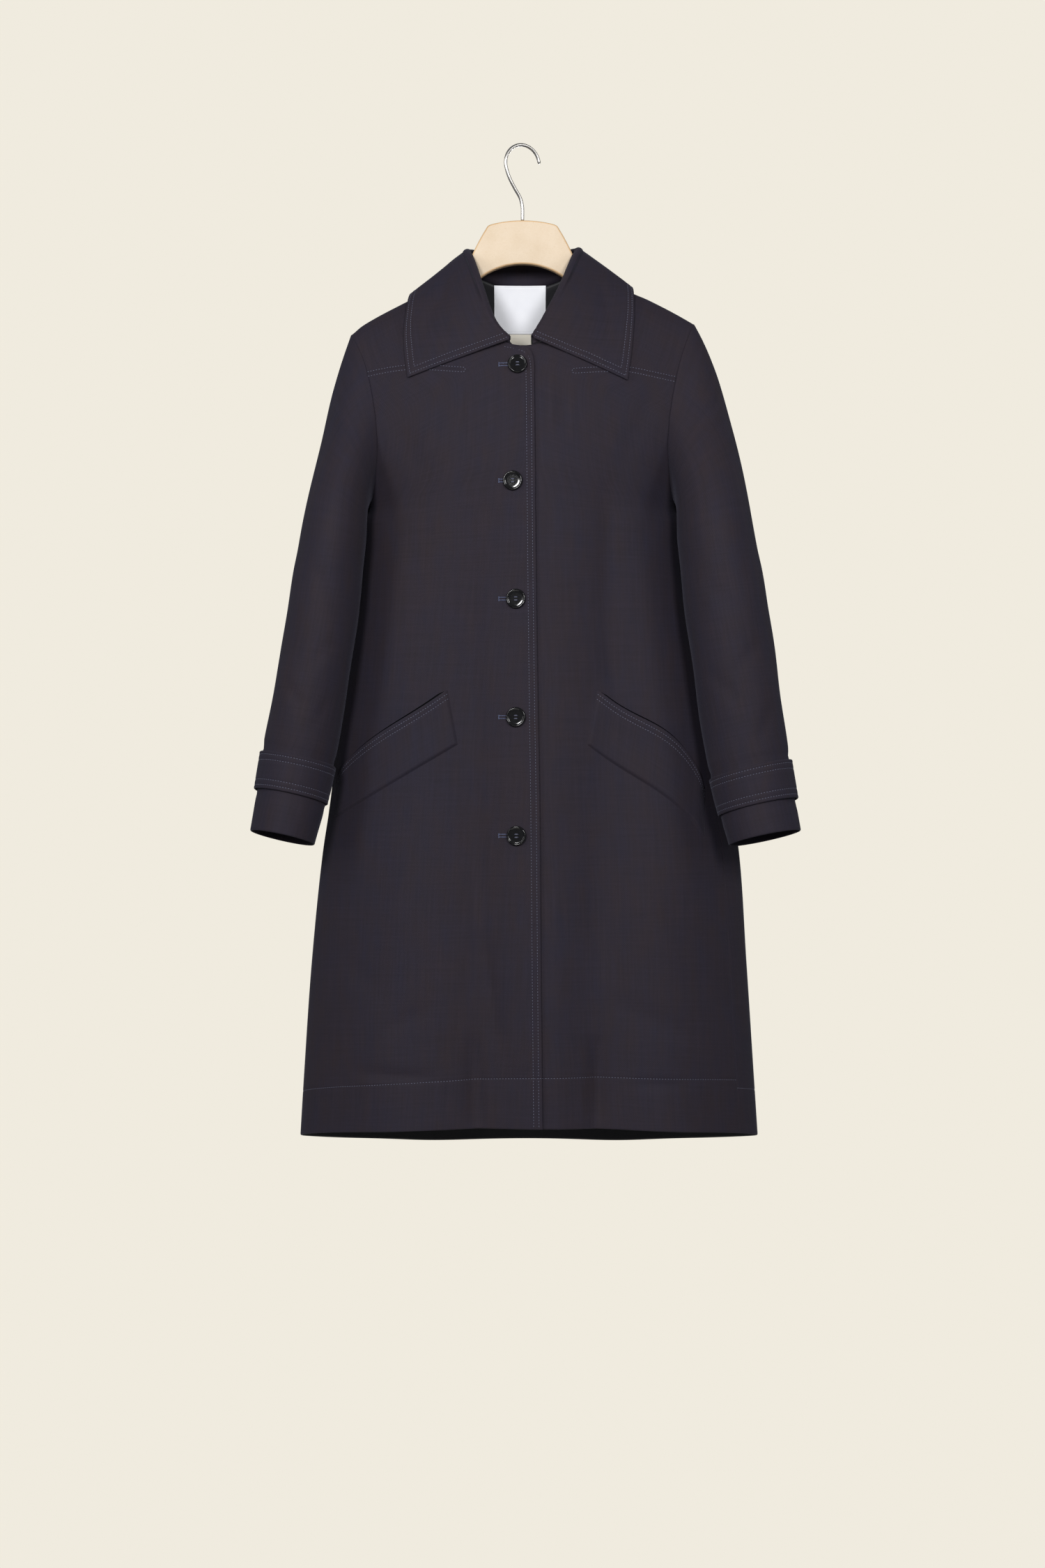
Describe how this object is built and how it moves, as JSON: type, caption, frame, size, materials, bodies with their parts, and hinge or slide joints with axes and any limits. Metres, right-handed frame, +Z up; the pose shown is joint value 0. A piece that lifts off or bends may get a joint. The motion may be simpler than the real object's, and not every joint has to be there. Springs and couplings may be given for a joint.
{
  "type": "gabardine coat on a hanger",
  "caption": "Dark A-line gabardine coat with pointed collar, buttoned lap, slanted welt pockets and cuff straps, open at neck, hem and cuffs, hanging on a board hanger with a wire hook.",
  "frame": {"origin": "inside top of the hanger's hook, where a rail carries it", "axes": "+Z up, the coat's front faces -Y, +X is the wearer's left"},
  "size_m": [0.6333, 0.2451, 1.1844],
  "materials": {
    "gabardine": "dark charcoal twill, matt with a faint sheen",
    "button": "glossy black",
    "label": "bare white woven label",
    "tab": "bare cream woven tab",
    "board": "pressed fibre board, matt beige",
    "hook": "satin steel wire"
  },
  "bodies": {
    "root": {"front_right": "gabardine", "front_left": "gabardine", "back": "gabardine", "sleeve_right": "gabardine", "sleeve_left": "gabardine", "strap_right": "gabardine", "strap_left": "gabardine", "collar": "gabardine", "welt_right": "gabardine", "welt_left": "gabardine", "button_1": "button", "button_2": "button", "button_3": "button", "button_4": "button", "button_5": "button", "label": "label", "size_tab": "tab", "hanger_body": "board", "hanger_hook": "hook"}
  },
  "joints": []
}
